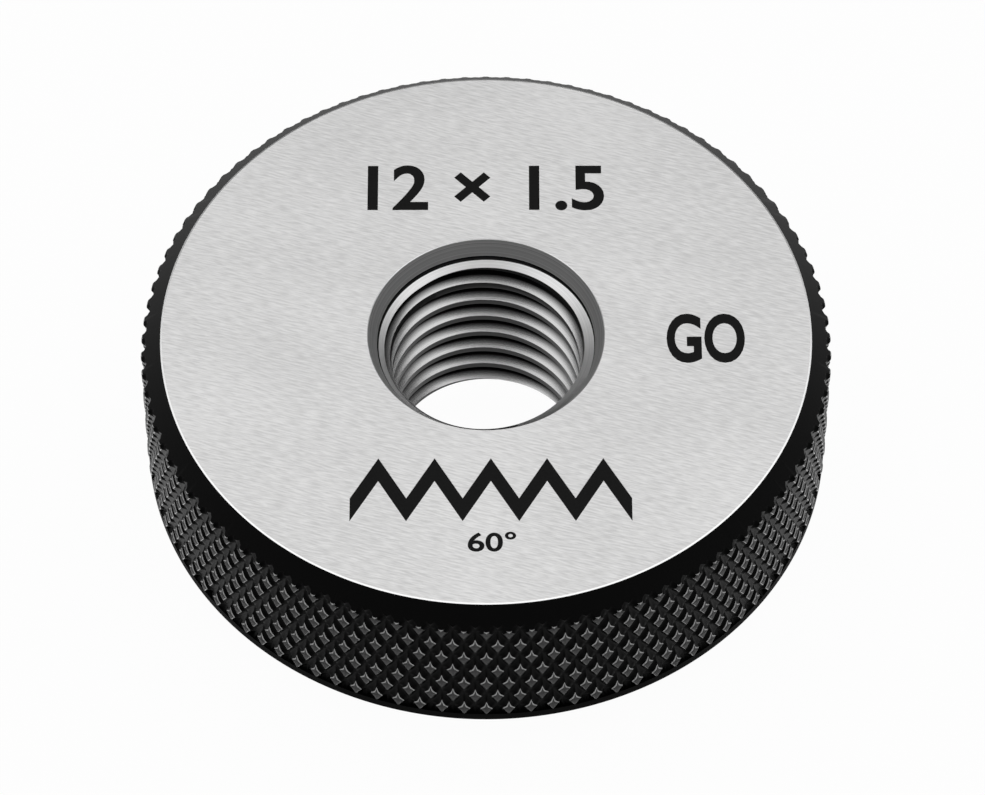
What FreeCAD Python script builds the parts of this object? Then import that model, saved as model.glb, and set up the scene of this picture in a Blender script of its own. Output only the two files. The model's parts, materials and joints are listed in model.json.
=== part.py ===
import FreeCAD, Part
import math
import os

# Thread ring gauge, GO side, for M12 x 1.5. It is one hardened steel ring: a flat lapped face at
# each end, a chamfered rim with a rolled diamond knurl, and a countersunk threaded bore.
# Millimetres. The ring stands on z = 0, and the axis of its thread is +Z.

outer_diameter = 38.0
thickness = 12.0
upper_face_diameter = 35.7  # inside the marked side's rim chamfer
lower_face_diameter = 33.2  # inside the other side's chamfer, which is wider

thread_diameter = 12.0
thread_pitch = 1.5
thread_height = 5 / 8 * math.sqrt(3) / 2 * thread_pitch  # basic ISO metric profile, flat to flat
upper_countersink_diameter = 13.0
upper_countersink_angle = 60.0  # included, from the face down to the thread's own diameter
shoulder_angle = 120.0  # included, below the upper countersink, as steep as the thread's flanks
lead_in_diameter = 10.84  # at the foot of the shoulder
lead_in_end = 2.6  # below the marked face, where the crests reach their full height
lower_countersink_diameter = 12.4
lower_countersink_angle = 120.0

knurl_count = 98  # diamonds round the rim
knurl_row = 1.215  # height from one row of diamonds to the next, which is set half a step round
knurl_height = 8.28  # height of a row that has a diamond at the front, on the -Y side
knurl_depth = 0.31
knurl_flat_share = 0.5  # of a diamond's height that its flat top has

outer_radius = outer_diameter / 2
root_radius = outer_radius - knurl_depth
bore_radius = thread_diameter / 2 - thread_height  # at the crests of the thread
half_step = math.pi / knurl_count
front = -math.pi / 2
axis = FreeCAD.Vector(0, 0, 1)


def on_ring(radius, angle, height, aside=0.0):
    """A point at a radius, moved aside along the tangent."""
    x = radius * math.cos(angle) - aside * math.sin(angle)
    y = radius * math.sin(angle) + aside * math.cos(angle)
    return FreeCAD.Vector(x, y, height)


def plane_face(*corners):
    return Part.Face(Part.makePolygon([*corners, corners[0]]))


def closed_solid(faces):
    shell = Part.Shell(faces)
    shell.sewShape()
    return Part.Solid(shell)


def row_angles(row):
    """Where the diamonds of a row are. Odd rows are half a step round from even ones."""
    start = front + half_step * (row % 2)
    return [start + 2 * half_step * i for i in range(knurl_count)]


def flat_half_width():
    """Half the width of a flat, at which each flank below it is one plane."""
    bulge = root_radius * (1 - math.cos(half_step)) / knurl_depth
    share = knurl_flat_share / (1 + bulge * (1 - knurl_flat_share))
    return share * root_radius * math.sin(half_step)


def diamond(angle, height):
    """A flat with four flanks that fall to the bottoms of the grooves."""
    half_width = flat_half_width()
    half_height = knurl_flat_share * knurl_row
    flat = [
        on_ring(outer_radius, angle, height, half_width),
        on_ring(outer_radius, angle, height + half_height),
        on_ring(outer_radius, angle, height, -half_width),
        on_ring(outer_radius, angle, height - half_height),
    ]
    groove = [
        on_ring(root_radius, angle + half_step, height),
        on_ring(root_radius, angle, height + knurl_row),
        on_ring(root_radius, angle - half_step, height),
        on_ring(root_radius, angle, height - knurl_row),
    ]
    flanks = [plane_face(flat[i - 1], flat[i], groove[i], groove[i - 1]) for i in range(4)]
    return [plane_face(*flat), *flanks]


def end_faces(row, away):
    """Closes the knurled bar past its last row, with a triangle between each two diamonds."""
    height = knurl_height + knurl_row * row
    tips = [on_ring(root_radius, angle, height + away) for angle in row_angles(row)]
    sides = [on_ring(root_radius, angle - half_step, height) for angle in row_angles(row)]
    between = [plane_face(tips[i - 1], sides[i], tips[i]) for i in range(knurl_count)]
    return [plane_face(*tips), *between]


def knurled_bar():
    """A solid bar with the knurl all round, longer than the ring at both ends."""
    lowest = -math.ceil(knurl_height / knurl_row)
    highest = math.ceil((thickness - knurl_height) / knurl_row)
    faces = end_faces(lowest, -knurl_row) + end_faces(highest, knurl_row)
    for row in range(lowest, highest + 1):
        for angle in row_angles(row):
            faces += diamond(angle, knurl_height + knurl_row * row)
    return closed_solid(faces)


def chamfer_limit(face_radius, face_height, inward, row):
    """The space within one rim chamfer and its end face, which opens at 45 degrees.

    It has a plane side for each diamond of the row that the chamfer cuts, so the edges of the
    knurl stay straight. The sides are within 0.01 mm of a true cone.
    """
    depth = thickness + 1.0  # past the far end face
    valleys = [angle - half_step for angle in row_angles(row)]
    near = [on_ring(face_radius, angle, face_height) for angle in valleys]
    far = [on_ring(face_radius + depth, angle, face_height + inward * depth) for angle in valleys]
    sides = [plane_face(near[i - 1], near[i], far[i], far[i - 1]) for i in range(knurl_count)]
    return closed_solid([plane_face(*near), plane_face(*far), *sides])


def rim_row(height):
    """The row of diamonds nearest to a height."""
    return round((height - knurl_height) / knurl_row)


def cone_depth(wide, narrow, angle):
    """How far a cone of an included angle runs from one radius to a smaller one."""
    return (wide - narrow) / math.tan(math.radians(angle / 2))


def bore():
    """What is drilled and countersunk out of the middle, up to the thread's crests."""
    upper_radius = upper_countersink_diameter / 2
    lower_radius = lower_countersink_diameter / 2
    lead_radius = lead_in_diameter / 2
    thread_radius = thread_diameter / 2
    upper_end = thickness - cone_depth(upper_radius, thread_radius, upper_countersink_angle)
    shoulder_end = upper_end - cone_depth(thread_radius, lead_radius, shoulder_angle)
    lower_end = cone_depth(lower_radius, bore_radius, lower_countersink_angle)
    profile = [
        (0, 0),
        (lower_radius, 0),
        (bore_radius, lower_end),
        (bore_radius, thickness - lead_in_end),
        (lead_radius, shoulder_end),
        (thread_radius, upper_end),
        (upper_radius, thickness),
        (0, thickness),
    ]
    corners = [FreeCAD.Vector(radius, 0, height) for radius, height in profile]
    return plane_face(*corners).revolve(FreeCAD.Vector(), axis, 360)


def ring_gauge():
    upper_radius = upper_face_diameter / 2
    lower_radius = lower_face_diameter / 2
    upper_row = rim_row(thickness - (outer_radius - upper_radius))
    lower_row = rim_row(outer_radius - lower_radius)
    ring = knurled_bar()
    ring = ring.common(chamfer_limit(upper_radius, thickness, -1, upper_row))
    ring = ring.common(chamfer_limit(lower_radius, 0, 1, lower_row))
    return ring.cut(bore())


os.makedirs("parts", exist_ok=True)
ring_gauge().exportStep("parts/ring_gauge.step")
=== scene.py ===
import json
import math

import bmesh
import bpy
from mathutils import Matrix, Vector

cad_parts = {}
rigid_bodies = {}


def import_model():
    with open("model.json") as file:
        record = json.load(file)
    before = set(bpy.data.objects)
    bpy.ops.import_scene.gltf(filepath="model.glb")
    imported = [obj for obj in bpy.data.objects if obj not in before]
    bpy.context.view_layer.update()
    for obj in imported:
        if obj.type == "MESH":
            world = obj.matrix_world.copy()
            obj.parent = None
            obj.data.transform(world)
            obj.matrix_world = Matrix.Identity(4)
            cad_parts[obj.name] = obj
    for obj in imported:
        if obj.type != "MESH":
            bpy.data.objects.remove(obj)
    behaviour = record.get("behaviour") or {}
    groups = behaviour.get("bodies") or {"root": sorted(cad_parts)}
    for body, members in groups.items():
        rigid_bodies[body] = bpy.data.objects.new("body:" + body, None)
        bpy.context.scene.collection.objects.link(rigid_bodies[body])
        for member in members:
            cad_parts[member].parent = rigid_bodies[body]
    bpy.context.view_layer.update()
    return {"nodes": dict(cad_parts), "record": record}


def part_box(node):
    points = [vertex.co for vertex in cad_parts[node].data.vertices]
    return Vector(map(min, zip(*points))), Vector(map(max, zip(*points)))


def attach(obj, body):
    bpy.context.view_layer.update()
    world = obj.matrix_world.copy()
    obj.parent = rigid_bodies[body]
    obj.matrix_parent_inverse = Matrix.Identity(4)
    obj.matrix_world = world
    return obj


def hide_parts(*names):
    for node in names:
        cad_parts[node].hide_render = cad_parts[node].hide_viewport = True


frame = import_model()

mm = 0.001
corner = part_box("ring_gauge")[1]  # of the solid's box, the one with the largest values
mounts = {mount["name"]: mount for mount in frame["record"]["mounts"]}
print("frame loaded:", ", ".join(frame["nodes"]))


# One socket of a shader. Sums, products and the like on it add Math nodes.
class Sock:
    def __init__(self, shader, socket):
        self.shader = shader
        self.socket = socket

    def maths(self, operation, first, second):
        return self.shader.node("ShaderNodeMath", {"operation": operation}, {0: first, 1: second})

    def __add__(self, other):
        return self.maths("ADD", self, other)

    def __sub__(self, other):
        return self.maths("SUBTRACT", self, other)

    def __rsub__(self, other):
        return self.maths("SUBTRACT", other, self)

    def __mul__(self, other):
        return self.maths("MULTIPLY", self, other)

    def upTo(self, limit):
        return self.maths("MINIMUM", self, limit)

    __radd__ = __add__
    __rmul__ = __mul__


# A material's node tree, filled by calls of node().
class Shader:
    def __init__(self, owner):
        owner.use_nodes = True
        self.tree = owner.node_tree
        self.tree.nodes.clear()

    def node(self, kind, settings=None, sockets=None, out=0):
        made = self.tree.nodes.new(kind)
        for name, value in (settings or {}).items():
            setattr(made, name, value)
        for name, value in (sockets or {}).items():
            if isinstance(value, Sock):
                self.tree.links.new(value.socket, made.inputs[name])
            else:
                made.inputs[name].default_value = value
        return Sock(self, made.outputs[out]) if made.outputs else None

    def coords(self):
        return self.node("ShaderNodeTexCoord", out="Object")

    # noise stretched over a patch of the given size, which is turned about the gauge's axis
    def noise(self, size, detail, turned=0):
        patch = self.node(
            "ShaderNodeMapping",
            {"vector_type": "TEXTURE"},
            {"Vector": self.coords(), "Rotation": (0, 0, turned), "Scale": size},
        )
        sockets = {"Vector": patch, "Scale": 1, "Detail": detail}
        return self.node("ShaderNodeTexNoise", None, sockets)

    # the distance from the gauge's axis
    def radius(self):
        flat = self.node(
            "ShaderNodeVectorMath", {"operation": "MULTIPLY"}, {0: self.coords(), 1: (1, 1, 0)}
        )
        return self.node("ShaderNodeVectorMath", {"operation": "LENGTH"}, {0: flat}, "Value")

    # 0 nearer to the axis than the first radius, 1 past the second, and rising between them
    def beyond(self, first, second):
        sockets = {"Value": self.radius(), "From Min": first, "From Max": second}
        return self.node("ShaderNodeMapRange", None, sockets)

    # noise that only changes with the distance from the axis and the height: rings left by turning;
    # lean is 1 on cones that widen upwards and -1 on those that narrow
    def rings(self, width, lean=1, detail=3):
        height = self.node("ShaderNodeSeparateXYZ", None, {0: self.coords()}, "Z")
        along = self.radius() + height * lean
        sockets = {"W": along * (1 / width), "Scale": 1, "Detail": detail}
        return self.node("ShaderNodeTexNoise", {"noise_dimensions": "1D"}, sockets)

    def blend(self, mask, dark, light):
        sockets = {"Factor": mask, 6: dark, 7: light}
        return self.node("ShaderNodeMix", {"data_type": "RGBA"}, sockets, out=2)

    def bump(self, height, depth):
        sockets = {"Height": height, "Strength": 1, "Distance": depth}
        return self.node("ShaderNodeBump", None, sockets)

    def surface(self, sockets):
        principled = self.node("ShaderNodeBsdfPrincipled", None, sockets)
        self.node("ShaderNodeOutputMaterial", None, {"Surface": principled})


def grey(shade, warmth=0):
    return (shade * (1 + warmth), shade, shade * (1 - warmth), 1)


def newMaterial(name):
    material = bpy.data.materials.new(name)
    return material, Shader(material)


lapping = {
    "dark": grey(0.56, 0.003),
    "light": grey(0.75, 0.003),
    "stroke": (0.8 * mm, 0.1 * mm, 1 * mm),
    "strokeDetail": 3,
    "cloud": (9 * mm, 5 * mm, 9 * mm),
    "cloudDetail": 2,
    "slant": math.radians(-16),
    "strokeShare": 2.9,  # how far each noise moves the tone from the middle
    "cloudShare": 0.7,
    "roughness": 0.27,
    "spread": 0.1,  # how much rougher it is where a stroke is light
    "scratch": 0.0006 * mm,
}


def lappedSteel():
    material, shader = newMaterial("lappedSteel")
    strokes = shader.noise(lapping["stroke"], lapping["strokeDetail"], lapping["slant"])
    clouds = shader.noise(lapping["cloud"], lapping["cloudDetail"], lapping["slant"])
    tone = (strokes - 0.5) * lapping["strokeShare"] + (clouds - 0.5) * lapping["cloudShare"] + 0.5
    shader.surface({
        "Base Color": shader.blend(tone, lapping["dark"], lapping["light"]),
        "Metallic": 1.0,
        "Roughness": lapping["roughness"] + strokes * lapping["spread"],
        "Normal": shader.bump(strokes, lapping["scratch"]),
    })
    return material


brokenEdge = {"colour": grey(1), "roughness": 0.35}


# the broken edges of the end faces
def edgeSteel():
    material, shader = newMaterial("edgeSteel")
    shader.surface({
        "Base Color": brokenEdge["colour"],
        "Metallic": 1.0,
        "Roughness": brokenEdge["roughness"],
    })
    return material


blackening = {
    "colour": grey(0.002),
    "roughness": 0.42,
    "spread": 0.12,
    "shine": 0.12,
    "lines": 0.05 * mm,
    "depth": 0.0005 * mm,
}


def blackSteel():
    material, shader = newMaterial("blackSteel")
    lines = shader.rings(blackening["lines"], -1)
    shader.surface({
        "Base Color": blackening["colour"],
        "Roughness": blackening["roughness"] + lines * blackening["spread"],
        "Specular IOR Level": blackening["shine"],
        "Normal": shader.bump(lines, blackening["depth"]),
    })
    return material


# the finishes of the rim: rolled grooves, rubbed tops, their worn edges, and the plain strip
knurling = {
    "grooveBlack": {
        "dark": grey(0.0003), "light": grey(0.001), "roughness": 0.24, "shine": 0.025, "metal": 0.0,
    },
    "topBlack": {
        "dark": grey(0.035), "light": grey(0.16), "roughness": 0.32, "shine": 0.05, "metal": 0.0,
    },
    "edgeBlack": {
        "dark": grey(0.085), "light": grey(0.38), "roughness": 0.16, "shine": 1.0, "metal": 1.0,
    },
    "stripBlack": {
        "dark": grey(0.0003), "light": grey(0.001), "roughness": 0.45, "shine": 0.015, "metal": 0.0,
    },
}
grain = {"size": (0.12 * mm, 0.12 * mm, 0.12 * mm), "detail": 3, "spread": 0.1, "depth": 0.002 * mm}


def knurlSteel(name):
    finish = knurling[name]
    material, shader = newMaterial(name)
    grains = shader.noise(grain["size"], grain["detail"])
    shader.surface({
        "Base Color": shader.blend(grains, finish["dark"], finish["light"]),
        "Metallic": finish["metal"],
        "Roughness": finish["roughness"] + grains * grain["spread"],
        "Specular IOR Level": finish["shine"],
        "Normal": shader.bump(grains, grain["depth"]),
    })
    return material


# the finishes of the bore, with the fine rings that a cutting edge leaves: bright, but with painted
# shade towards the thread's root and on its crests
turning = {
    "turnedSteel": {
        "dark": grey(0.36), "light": grey(1), "lines": 0.1 * mm,
        "roughness": 0.5, "spread": 0.1, "depth": 0.002 * mm,
    },
    "shoulderSteel": {
        "dark": grey(0.66), "light": grey(1), "lines": 0.08 * mm,
        "roughness": 0.3, "spread": 0.08, "depth": 0.002 * mm,
    },
    # the flanks of the thread, bright near the crest and dark from there to the root: painted shade
    # in the deep groove, with some oil there too
    "threadSteelRootShade": {
        "dark": grey(0.55), "light": grey(0.75), "lines": 0.08 * mm,
        "roughness": 0.2, "spread": 0.08, "depth": 0.001 * mm,
        "root": grey(0.006), "brightTo": 5.3 * mm, "darkFrom": 5.64 * mm,
    },
    # the flat tops of the thread, which the tap leaves as they were bored, darkened almost to
    # black: a painted reflection of the shaded floor below the ring
    "crestShadeSteel": {
        "dark": grey(0.018), "light": grey(0.045), "lines": 0.1 * mm,
        "roughness": 0.3, "spread": 0.1, "depth": 0.001 * mm,
    },
}


def turnedSteel(name):
    finish = turning[name]
    material, shader = newMaterial(name)
    lines = shader.rings(finish["lines"])
    steel = shader.blend(lines, finish["dark"], finish["light"])
    # painted shade, partly oil: darker from brightTo out to darkFrom, towards the thread's root
    if "root" in finish:
        rootShadeMask = shader.beyond(finish["brightTo"], finish["darkFrom"])
        steel = shader.blend(rootShadeMask, steel, finish["root"])
    shader.surface({
        "Base Color": steel,
        "Metallic": 1.0,
        "Roughness": finish["roughness"] + lines * finish["spread"],
        "Normal": shader.bump(lines, finish["depth"]),
    })
    return material


etching = {
    "dark": grey(0.001),
    "light": grey(0.016),
    "mottle": (0.15 * mm, 0.15 * mm, 0.15 * mm),
    "detail": 4,
    "roughness": 0.55,
    "spread": 0.3,
    "shine": 0.14,
    "depth": 0.003 * mm,
}


def etchedBlackAndShade():
    material, shader = newMaterial("etchedBlackAndShade")
    mottle = shader.noise(etching["mottle"], etching["detail"])
    shader.surface({
        "Base Color": shader.blend(mottle, etching["dark"], etching["light"]),
        "Roughness": etching["roughness"] + mottle * etching["spread"],
        "Specular IOR Level": etching["shine"],
        "Normal": shader.bump(mottle, etching["depth"]),
    })
    return material


finishes = {
    "lapped": lappedSteel(),
    "edge": edgeSteel(),
    "chamfer": blackSteel(),
    "knurlTop": knurlSteel("topBlack"),
    "knurlEdge": knurlSteel("edgeBlack"),
    "knurlGroove": knurlSteel("grooveBlack"),
    "strip": knurlSteel("stripBlack"),
    "sink": turnedSteel("turnedSteel"),
    "shoulder": turnedSteel("shoulderSteel"),
    "thread": turnedSteel("threadSteelRootShade"),
    "crest": turnedSteel("crestShadeSteel"),
    # the black of the etched marks, also laid on the step in the bore as painted shade
    "etched": etchedBlackAndShade(),
}
finishOrder = list(finishes)
print("finishes made:", len(finishes))


def newObject(name, vertices, faces):
    mesh = bpy.data.meshes.new(name)
    mesh.from_pydata(vertices, [], faces)
    made = bpy.data.objects.new(name, mesh)
    bpy.context.scene.collection.objects.link(made)
    return made


# welds what coincides, closes open ends and turns all faces outwards
def closeUp(piece, gap=0.001 * mm):
    shape = bmesh.new()
    shape.from_mesh(piece.data)
    bmesh.ops.remove_doubles(shape, verts=shape.verts, dist=gap)
    bmesh.ops.holes_fill(shape, edges=shape.edges, sides=0)
    bmesh.ops.recalc_face_normals(shape, faces=shape.faces)
    shape.to_mesh(piece.data)
    shape.free()


def looseEdges(piece):
    shape = bmesh.new()
    shape.from_mesh(piece.data)
    loose = sum(not edge.is_manifold for edge in shape.edges)
    shape.free()
    return loose


def discard(piece):
    mesh = piece.data
    bpy.data.objects.remove(piece)
    bpy.data.meshes.remove(mesh)


def combine(piece, operation, tool):
    step = piece.modifiers.new("cut", "BOOLEAN")
    step.object = tool
    step.operation = operation
    step.solver = "MANIFOLD"
    view = bpy.context.evaluated_depsgraph_get()
    old = piece.data
    result = bpy.data.meshes.new_from_object(piece.evaluated_get(view))
    piece.modifiers.clear()
    piece.data = result
    bpy.data.meshes.remove(old)
    discard(tool)


def onRing(radius, angle, height):
    return (radius * math.cos(angle), radius * math.sin(angle), height)


# sweeps a closed profile of (radius, height) round the axis, and up it where rise is more than 0
def sweep(name, profile, steps, perTurn, rise=0, start=0):
    count = len(profile)
    closed = steps == perTurn and not rise
    vertices = []
    for step in range(steps if closed else steps + 1):
        turn = step / perTurn
        for radius, height in profile:
            vertices.append(onRing(radius, 2 * math.pi * turn, start + height + rise * turn))
    faces = []
    for step in range(steps):
        here = step * count
        ahead = (step + 1) * count % len(vertices)
        for corner in range(count):
            after = (corner + 1) % count
            faces.append((here + corner, ahead + corner, ahead + after, here + after))
    swept = newObject(name, vertices, faces)
    closeUp(swept)
    return swept


ring = {
    "name": "ring_gauge_body",
    "steps": 480,
    "rim": corner.x,
    "top": corner.z,
    "upperFace": 17.85 * mm,
    "lowerFace": 16.6 * mm,
    "faceBreak": 0.06 * mm,  # stoned off the sharp edge of each end face
    "rimBreak": 0.05 * mm,  # rubbed off the diamonds where the chamfer cuts them
    "rimBreakSlope": 2.4,
    "past": 0.5 * mm,  # how far beyond the rim the turned form reaches before the knurl cuts it
}

bore = {
    "crest": mounts["thread"]["dims"]["r_mm"] * mm,
    "major": 6.0 * mm,
    "upperSink": 6.5 * mm,
    "upperHalfAngle": math.radians(30),  # from the face down to the major diameter
    "shoulderHalfAngle": math.radians(60),  # below that, as steep as a flank of the thread
    "leadIn": 5.42 * mm,  # at the foot of the shoulder
    "leadInEnd": 2.6 * mm,  # below the marked face
    "lowerSink": 6.2 * mm,
    "lowerHalfAngle": math.radians(60),
    "sinkBreak": 0.03 * mm,
}
bore["upperEnd"] = (bore["upperSink"] - bore["major"]) / math.tan(bore["upperHalfAngle"])
bore["shoulderEnd"] = (
    bore["upperEnd"] + (bore["major"] - bore["leadIn"]) / math.tan(bore["shoulderHalfAngle"])
)
bore["lowerEnd"] = (bore["lowerSink"] - bore["crest"]) / math.tan(bore["lowerHalfAngle"])


# the plain strip of the rim that the knurl stops above
strip = {
    "radius": 18.93 * mm,
    "inner": 17.0 * mm,
    "top": 2.85 * mm,
    "past": 0.4 * mm,  # how far the tool reaches past the strip, outwards and up
    "blend": 0.1 * mm,  # how much the step above the strip rises outwards
}


# radius and depth below an end face, from just inside the countersink to just inside the chamfer
def endProfile(face, sink, halfAngle):
    side = bore["sinkBreak"]
    return [
        (sink - side * math.tan(halfAngle), side),
        (sink + side, 0),
        (face - ring["faceBreak"], 0),
        (face + ring["faceBreak"] / 2, ring["faceBreak"] / 2),
    ]


def turnedRing():
    past = ring["rim"] + ring["past"]
    lower = [(bore["crest"], bore["lowerEnd"])]
    lower += endProfile(ring["lowerFace"], bore["lowerSink"], bore["lowerHalfAngle"])
    lower += [
        (strip["radius"], strip["radius"] - ring["lowerFace"]),
        (strip["radius"], strip["top"]),
        (past, strip["top"] + strip["blend"]),
    ]
    upper = [
        (bore["crest"], bore["leadInEnd"]),
        (bore["leadIn"], bore["shoulderEnd"]),
        (bore["major"], bore["upperEnd"]),
    ]
    upper += endProfile(ring["upperFace"], bore["upperSink"], bore["upperHalfAngle"])
    rubbed = ring["rim"] - ring["rimBreak"]
    upper += [
        (rubbed, rubbed - ring["upperFace"]),
        (past, rubbed - ring["upperFace"] + ring["rimBreakSlope"] * (past - rubbed)),
    ]
    profile = lower + [(radius, ring["top"] - depth) for radius, depth in reversed(upper)]
    return sweep(ring["name"], profile, ring["steps"], ring["steps"])


knurl = {
    "diamonds": 98,
    "row": 1.215 * mm,
    "level": 8.28 * mm,  # a row with a diamond at the front
    "depth": 0.31 * mm,
    "crown": 0.048 * mm,  # how much lower the top's edge is than its middle
    # right, top, left and bottom corner of the top, with the cell's as 1
    "tips": (0.53, 0.5, 0.53, 0.47),
    "waists": (0.33, 0.33, 0.49, 0.49),  # the middle of each side: the upper two are scooped out
    "around": 5,  # steps along each side
    "bands": (-0.45, -0.09, 0.07, 0.4, 1.0),  # from inside the top's edge, at 0, to the groove
    "rubbedTo": 0.75,  # how deep, in crowns, the rubbed top and then its worn edge reach
    "wornTo": 1.3,
}


# where a point on one side of a diamond is, across the cell, and how far it is sunk
def diamondPoint(side, along, band):
    tips = knurl["tips"]
    tip = tips[side] if along < 0 else tips[(side + 1) % len(tips)]
    waist = knurl["waists"][side]
    edge = waist + (tip - waist) * along * along
    out = edge + (1 - edge) * band
    across = (out, out * along)
    for _ in range(side):
        across = (-across[1], across[0])
    if band < 0:
        return across, knurl["crown"] * (1 + band) ** 3
    return across, knurl["crown"] + (knurl["depth"] - knurl["crown"]) * math.sin(math.pi / 2 * band)


def knurledBar():
    halfStep = math.pi / knurl["diamonds"]
    lowest = -math.ceil(knurl["level"] / knurl["row"])
    highest = math.ceil((ring["top"] - knurl["level"]) / knurl["row"])
    alongs = [2 * k / knurl["around"] - 1 for k in range(knurl["around"])]
    points = [
        [diamondPoint(side, along, band) for side in range(4) for along in alongs]
        for band in knurl["bands"]
    ]
    loop = len(points[0])
    vertices = []
    faces = []
    for row in range(lowest, highest + 1):
        for place in range(knurl["diamonds"]):
            angle = -math.pi / 2 + halfStep * (2 * place + row % 2)
            height = knurl["level"] + knurl["row"] * row
            centre = len(vertices)
            vertices.append(onRing(ring["rim"], angle, height))
            for band in points:
                for (first, second), sunk in band:
                    vertices.append(onRing(
                        ring["rim"] - sunk,
                        angle + halfStep * (first - second) / 2,
                        height + knurl["row"] * (first + second) / 2,
                    ))
            for step in range(loop):
                here = centre + 1 + step
                ahead = centre + 1 + (step + 1) % loop
                faces.append((centre, here, ahead))
                for band in range(len(points) - 1):
                    faces.append((here, here + loop, ahead + loop, ahead))
                    here += loop
                    ahead += loop
    bar = newObject("knurledBar", vertices, faces)
    closeUp(bar)
    return bar


thread = {
    "pitch": 1.5 * mm,
    "grooveHeight": 10.2 * mm,  # of a groove's middle on the +Y side
    "perTurn": 240,
    "flank": math.radians(30),
    "rootShare": 1 / 16,  # half of the root's width, in pitches
    "corner": 0.03 * mm,
    "overcut": 0.3 * mm,  # how far the tool stands out into the open bore
}


def threadTool():
    pitch = thread["pitch"]
    slope = math.tan(thread["flank"])
    root = pitch * thread["rootShare"]

    def halfWidth(radius):
        return root + (bore["major"] - radius) * slope

    inner = bore["crest"] - thread["overcut"]
    side = [
        (inner, halfWidth(inner)),
        (bore["major"] - thread["corner"], halfWidth(bore["major"] - thread["corner"])),
        (bore["major"], root - thread["corner"] * slope),
    ]
    profile = [(radius, -half) for radius, half in side]
    profile += [(radius, half) for radius, half in reversed(side)]
    turns = math.ceil(ring["top"] / pitch) + 2
    below = math.ceil(thread["grooveHeight"] / pitch) + 1
    start = thread["grooveHeight"] - pitch / 4 - below * pitch  # +Y is a quarter turn from +X
    steps = turns * thread["perTurn"]
    return sweep("threadTool", profile, steps, thread["perTurn"], pitch, start)


# the fine step between countersink and shoulder, cut a little off centre: widest at +Y, none at -Y;
# its faces get the black of the marks as painted shade
relief = {
    "outer": 6.15 * mm,
    "inner": 5.93 * mm,
    "deepest": 6.02 * mm,  # how far from the gauge's axis it reaches
    "height": 0.12 * mm,
    "aside": (0.02 * mm, -0.13 * mm, 0),
}


def reliefTool():
    top = ring["top"] - bore["upperEnd"]
    bottom = top - relief["height"]

    def band(name, inner, outer):
        profile = [(inner, bottom), (outer, bottom), (outer, top), (inner, top)]
        return sweep(name, profile, ring["steps"], ring["steps"])

    tool = band("reliefTool", relief["inner"], relief["outer"])
    tool.data.transform(Matrix.Translation(relief["aside"]))
    combine(tool, "INTERSECT", band("reliefLimit", bore["crest"], relief["deepest"]))
    return tool


# fills the knurl's grooves up to the top of the plain strip, where they run out at 45 degrees
def stripTool():
    past = strip["past"]
    profile = [
        (strip["inner"], -mm),
        (strip["radius"] + past, -mm),
        (strip["radius"] + past, strip["top"] - past),
        (strip["radius"] - past, strip["top"] + past),
        (strip["inner"], strip["top"] + past),
    ]
    return sweep("stripTool", profile, ring["steps"], ring["steps"])


body = turnedRing()
print("ring turned:", len(body.data.polygons), "faces")
bar = knurledBar()
combine(bar, "UNION", stripTool())
combine(body, "INTERSECT", bar)
print("rim knurled:", len(body.data.polygons), "faces")
combine(body, "DIFFERENCE", threadTool())
combine(body, "DIFFERENCE", reliefTool())
print("bore threaded:", len(body.data.polygons), "faces")


marks = {
    "pocket": 0.03 * mm,  # from the face down to the black
    "film": 0.02 * mm,
    "curveSteps": 6,
    "weld": 0.0001 * mm,
    # name, text, then in millimetres, as for the zigzag, middle, width and height, and boldness
    "items": [
        ("size_mark", "12 × 1.5", (0, 10.1), 13.2, 3.2, 0.02),
        ("go_mark", "GO", (12.05, -0.35), 4.3, 3.35, 0.03),
        ("angle_mark", "60°", (0.3, -13.85), 2.6, 1.3, 0.02),
    ],
}


# letters as a closed plate, 1 m thick until span() sets it between two heights
def letterPlate(name, words, at, width, height, bold):
    curve = bpy.data.curves.new(name, "FONT")
    curve.body = words
    curve.align_x = "CENTER"
    curve.extrude = 0.5
    curve.offset = bold
    curve.resolution_u = marks["curveSteps"]
    holder = bpy.data.objects.new(name, curve)
    bpy.context.scene.collection.objects.link(holder)
    view = bpy.context.evaluated_depsgraph_get()
    mesh = bpy.data.meshes.new_from_object(holder.evaluated_get(view))
    bpy.data.objects.remove(holder)
    bpy.data.curves.remove(curve)
    plate = bpy.data.objects.new(name, mesh)
    bpy.context.scene.collection.objects.link(plate)
    xs = [vertex.co.x for vertex in mesh.vertices]
    ys = [vertex.co.y for vertex in mesh.vertices]
    wide = width * mm / (max(xs) - min(xs))
    tall = height * mm / (max(ys) - min(ys))
    middle = Vector((-(min(xs) + max(xs)) / 2, -(min(ys) + max(ys)) / 2, 0))
    mesh.transform(Matrix.Translation(middle))
    mesh.transform(Matrix.Diagonal((wide, tall, 1, 1)))
    mesh.transform(Matrix.Translation((at[0] * mm, at[1] * mm, 0)))
    closeUp(plate, marks["weld"])
    return plate


zigzag = {
    "name": "profile_mark",
    "at": (0.25, -10.45),
    "teeth": 5,
    "width": 15.2,
    "line": 1.5,
    "angle": math.radians(60),
}


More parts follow.
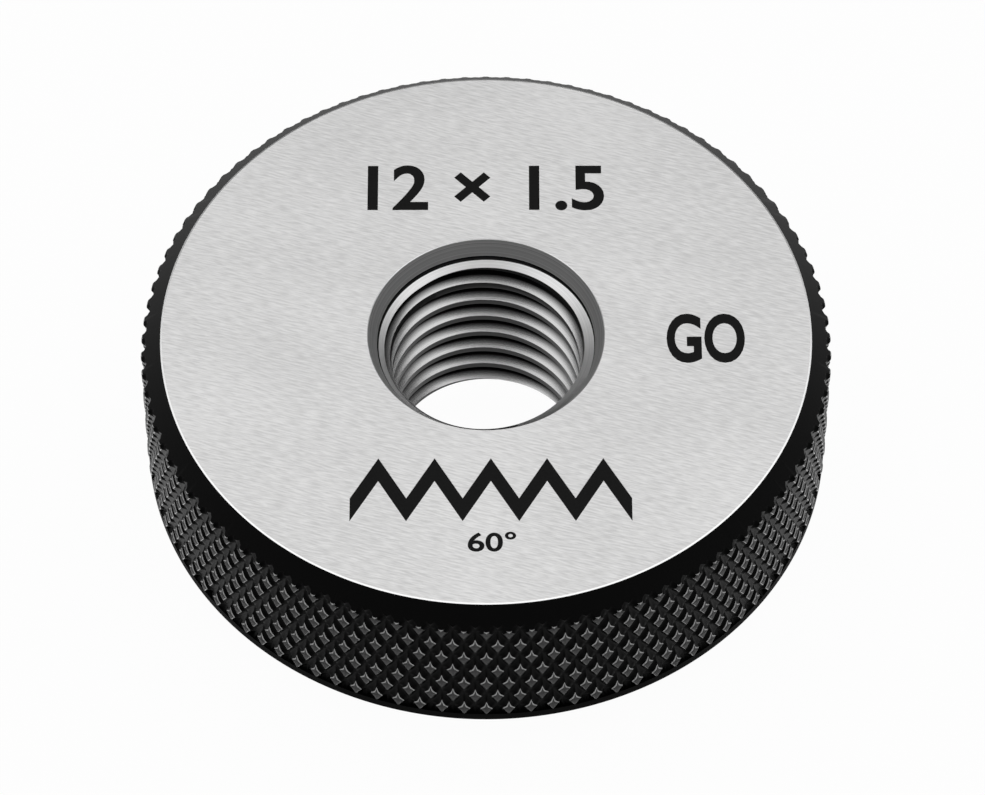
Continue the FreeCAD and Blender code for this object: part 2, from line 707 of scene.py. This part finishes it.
# the mark of a 60 degree thread form
def zigzagPlate():
    half = zigzag["width"] / zigzag["teeth"] / 2
    rise = half * math.tan(zigzag["angle"])
    corners = 2 * zigzag["teeth"] + 1
    middle = [(half * (k - zigzag["teeth"]), rise * (k % 2) - rise / 2) for k in range(corners)]
    outline = [(x, y - zigzag["line"] / 2) for x, y in middle]
    outline += [(x, y + zigzag["line"] / 2) for x, y in reversed(middle)]
    count = len(outline)
    right, up = zigzag["at"]
    vertices = [((x + right) * mm, (y + up) * mm, z) for z in (-0.5, 0.5) for x, y in outline]
    faces = [tuple(range(count)), tuple(range(count, 2 * count))]
    faces += [(k, (k + 1) % count, count + (k + 1) % count, count + k) for k in range(count)]
    plate = newObject(zigzag["name"], vertices, faces)
    closeUp(plate, marks["weld"])
    return plate


# sets a plate between two heights
def span(plate, bottom, top):
    plate.data.transform(Matrix.Diagonal((1, 1, top - bottom, 1)))
    plate.data.transform(Matrix.Translation((0, 0, (bottom + top) / 2)))


def etch(plate):
    tool = plate.copy()
    tool.data = plate.data.copy()
    bpy.context.scene.collection.objects.link(tool)
    bottom = ring["top"] - marks["pocket"]
    span(tool, bottom, ring["top"] + mm)
    combine(body, "DIFFERENCE", tool)
    span(plate, bottom - marks["film"] / 2, bottom + marks["film"] / 2)
    plate.data.materials.clear()
    plate.data.materials.append(finishes["etched"])
    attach(plate, "root")


for plate in [letterPlate(*item) for item in marks["items"]] + [zigzagPlate()]:
    etch(plate)
print("marks etched:", len(marks["items"]) + 1)


dressing = {
    "near": 0.012 * mm,  # how far from its surface a face's middle may lie
    # how much the normal of a level, a nearly level or an upright face points up or down
    "level": 0.99,
    "nearlyLevel": 0.95,
    "upright": 0.3,
    "runOut": 0.2 * mm,  # how far below the shoulder the end of the thread still looks like it
    "sharpFrom": math.radians(32),
    "rolled": {"knurlTop", "knurlEdge", "knurlGroove"},  # these flow into each other
}


def rimFinish(face, upper, radius, depth, faceRadius):
    sunk = ring["rim"] - radius
    if not upper and depth < strip["top"] + strip["blend"]:
        return "strip"
    cut = ring["rim"] - faceRadius + 2 * ring["rimBreak"]
    if depth < cut and abs(face.normal.z) > dressing["upright"]:
        return "knurlEdge" if sunk < ring["rimBreak"] else "knurlGroove"
    if sunk < knurl["crown"] * knurl["rubbedTo"]:
        return "knurlTop"
    return "knurlEdge" if sunk < knurl["crown"] * knurl["wornTo"] else "knurlGroove"


def boreFinish(face, upper, radius, depth):
    near = dressing["near"]
    upward = abs(face.normal.z)
    if upper and depth < bore["upperEnd"] - near:
        return "sink"
    # painted shade: the step that reliefTool cuts gets the black of the marks, a dark line standing
    # in for shadow
    stepEnd = bore["upperEnd"] + relief["height"]
    if upper and depth < stepEnd + near and upward > dressing["nearlyLevel"]:
        return "etched"
    if upper and depth < stepEnd and radius > bore["major"] + near:
        return "etched"
    lowerCone = (bore["lowerSink"] - radius) / math.tan(bore["lowerHalfAngle"])
    if not upper and abs(depth - lowerCone) < near:
        return "sink"
    # the crests, whose near-black steel is painted shade
    if upward < dressing["upright"]:
        return "crest"
    shoulder = bore["upperEnd"] + (bore["major"] - radius) / math.tan(bore["shoulderHalfAngle"])
    below = depth - shoulder
    onShoulder = upper and -near < below < dressing["runOut"] and face.normal.z > 0
    return "shoulder" if onShoulder else "thread"


def finishOf(face):
    middle = face.center
    radius = math.hypot(middle.x, middle.y)
    depth = min(middle.z, ring["top"] - middle.z)
    upper = middle.z > ring["top"] / 2
    faceRadius = ring["upperFace"] if upper else ring["lowerFace"]
    if depth < ring["faceBreak"] / 2 + dressing["near"]:
        return "lapped" if abs(face.normal.z) > dressing["level"] else "edge"
    if abs(radius - faceRadius - depth) < dressing["near"]:
        return "chamfer"
    if radius > faceRadius:
        return rimFinish(face, upper, radius, depth, faceRadius)
    return boreFinish(face, upper, radius, depth)


def dress(piece):
    mesh = piece.data
    mesh.materials.clear()
    for finish in finishes.values():
        mesh.materials.append(finish)
    for face in mesh.polygons:
        face.material_index = finishOrder.index(finishOf(face))
    mesh.shade_smooth()
    mesh.set_sharp_from_angle(angle=dressing["sharpFrom"])
    for face in mesh.polygons:
        lapped = finishOrder[face.material_index] == "lapped"
        face.use_smooth = not lapped or abs(face.normal.z) < dressing["level"]
    meeting = {}
    for face in mesh.polygons:
        for key in face.edge_keys:
            meeting.setdefault(key, set()).add(finishOrder[face.material_index])
    sharp = mesh.attributes["sharp_edge"].data
    for edge in mesh.edges:
        if meeting[edge.key] <= dressing["rolled"]:
            sharp[edge.index].value = False
        elif len(meeting[edge.key]) > 1:
            sharp[edge.index].value = True


dress(body)
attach(body, "root")
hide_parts("ring_gauge")
triangles = sum(len(face.vertices) - 2 for face in body.data.polygons)
print("body:", triangles, "triangles,", looseEdges(body), "loose edges")


floor = {"half": 3.0, "colour": grey(0.86), "paleShare": 0.97}


def paleFloor():
    material, shader = newMaterial("paleFloor")
    rays = [
        shader.node("ShaderNodeLightPath", out=kind)
        for kind in ("Is Camera Ray", "Is Glossy Ray", "Is Transmission Ray")
    ]
    share = (rays[0] + rays[1] + rays[2]).upTo(1.0) * floor["paleShare"]
    matt = shader.node("ShaderNodeBsdfDiffuse", None, {"Color": floor["colour"]})
    white = shader.node("ShaderNodeEmission", None, {"Color": grey(1), "Strength": 1.0})
    mixed = shader.node("ShaderNodeMixShader", None, {0: share, 1: matt, 2: white})
    shader.node("ShaderNodeOutputMaterial", None, {"Surface": mixed})
    return material


def layFloor():
    half = floor["half"]
    corners = [(-half, -half, 0), (half, -half, 0), (half, half, 0), (-half, half, 0)]
    laid = newObject("floor", corners, [(0, 1, 2, 3)])
    laid.data.materials.append(paleFloor())


studio = {
    "room": 0.12,  # plain grey all round
    "softboxes": [
        # name, middle, width, length, brightness
        ("overheadBox", (0, 0.21, 0.62), 1.5, 0.94, 1.0),
    ],
}


def lookAt(thing, target):
    thing.rotation_euler = (Vector(target) - thing.location).to_track_quat("-Z", "Y").to_euler()


def lightStudio():
    world = bpy.data.worlds.new("room")
    bpy.context.scene.world = world
    shader = Shader(world)
    sockets = {"Color": grey(studio["room"]), "Strength": 1.0}
    room = shader.node("ShaderNodeBackground", None, sockets)
    shader.node("ShaderNodeOutputWorld", None, {"Surface": room})
    for name, middle, width, length, brightness in studio["softboxes"]:
        lamp = bpy.data.lights.new(name, "AREA")
        lamp.shape = "RECTANGLE"
        lamp.size = width
        lamp.size_y = length
        lamp.energy = brightness * math.pi * width * length  # watts that give that radiance
        box = bpy.data.objects.new(name, lamp)
        box.location = middle  # an area lamp shines down as it is made
        bpy.context.scene.collection.objects.link(box)


shot = {
    "distance": 0.330,
    "elevation": math.radians(53.62),
    "lens": 219.75,
    "clipStart": 0.02,
    "right": 0.35 * mm,  # how far beside and below the marked face's middle the camera looks
    "down": 3.52 * mm,
}


def setCamera():
    lens = bpy.data.cameras.new("camera")
    lens.lens = shot["lens"]
    lens.clip_start = shot["clipStart"]
    camera = bpy.data.objects.new("camera", lens)
    bpy.context.scene.collection.objects.link(camera)
    away = Vector((0, -math.cos(shot["elevation"]), math.sin(shot["elevation"])))
    up = Vector((0, math.sin(shot["elevation"]), math.cos(shot["elevation"])))
    face = Vector((0, 0, ring["top"]))
    camera.location = face + away * shot["distance"]
    lookAt(camera, face + Vector((shot["right"], 0, 0)) - up * shot["down"])
    bpy.context.scene.camera = camera


layFloor()
lightStudio()
setCamera()
bpy.context.scene.view_settings.view_transform = "Standard"
print("stage set")
